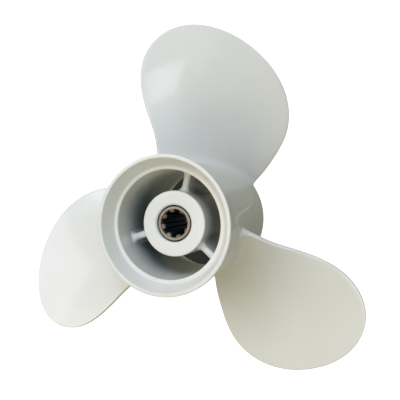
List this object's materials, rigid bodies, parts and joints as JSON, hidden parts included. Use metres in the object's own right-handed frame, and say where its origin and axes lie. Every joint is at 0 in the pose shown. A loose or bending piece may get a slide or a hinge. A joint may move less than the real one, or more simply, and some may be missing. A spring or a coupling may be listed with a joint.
{
  "type": "boat propeller",
  "caption": "Right-hand three-bladed outboard propeller with a through-hub exhaust barrel, ribbed inner hub, rubber damper bush and splined drive sleeve.",
  "frame": {"origin": "on the propeller axis, in the plane of the barrel's forward end", "axes": "+Z along the propeller axis, aft; +Y through the reference line of blade_1"},
  "size_m": [0.2173, 0.2104, 0.087],
  "materials": {
    "casting_paint": "gloss",
    "bush_rubber": "matte",
    "sleeve_bronze": "satin"
  },
  "bodies": {
    "drive_sleeve": {"spline_sleeve": "sleeve_bronze", "rubber_bush": "bush_rubber"},
    "propeller": {"barrel": "casting_paint", "diffuser_ring": "casting_paint", "inner_hub": "casting_paint", "rib_1": "casting_paint", "rib_2": "casting_paint", "rib_3": "casting_paint", "blade_1": "casting_paint", "blade_2": "casting_paint", "blade_3": "casting_paint"}
  },
  "joints": [
    {"name": "hub_windup", "type": "hinge", "parent": "drive_sleeve", "child": "propeller", "pos_m": [0, 0, 0.036], "axis": [0, 0, 1], "range_deg": [-8, 8], "stiffness_Nm_per_rad": 400}
  ]
}
